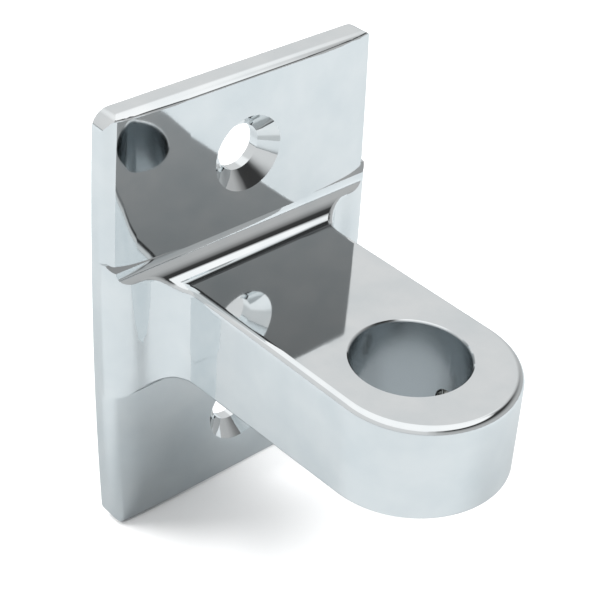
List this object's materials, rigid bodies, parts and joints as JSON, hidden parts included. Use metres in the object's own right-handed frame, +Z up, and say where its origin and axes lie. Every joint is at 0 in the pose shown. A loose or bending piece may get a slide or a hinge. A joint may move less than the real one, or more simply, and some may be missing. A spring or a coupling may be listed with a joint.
{
  "type": "stanchion base",
  "caption": "Side-mount stanchion base: bowed wall plate with countersunk holes, thick arm with a round nose, vertical tube socket and a set screw that grips the tube.",
  "frame": {"origin": "centre of the wall plate's flat back face", "axes": "+Z up along the plate's height and the tube socket, +Y into the wall, +X to the right seen from the front, so the arm points along -Y"},
  "size_m": [0.0656, 0.0733, 0.095],
  "materials": {
    "polished_chrome": "mirror-polished bright chrome plate",
    "screw_steel": "plain stainless steel, as machined"
  },
  "bodies": {
    "base": {"bracket_casting": "polished_chrome"},
    "screw": {"set_screw": "screw_steel"}
  },
  "joints": [
    {"name": "set_screw_travel", "type": "slide", "parent": "base", "child": "screw", "axis": [1, 0, 0], "range_m": [-0.002, 0.004]}
  ]
}
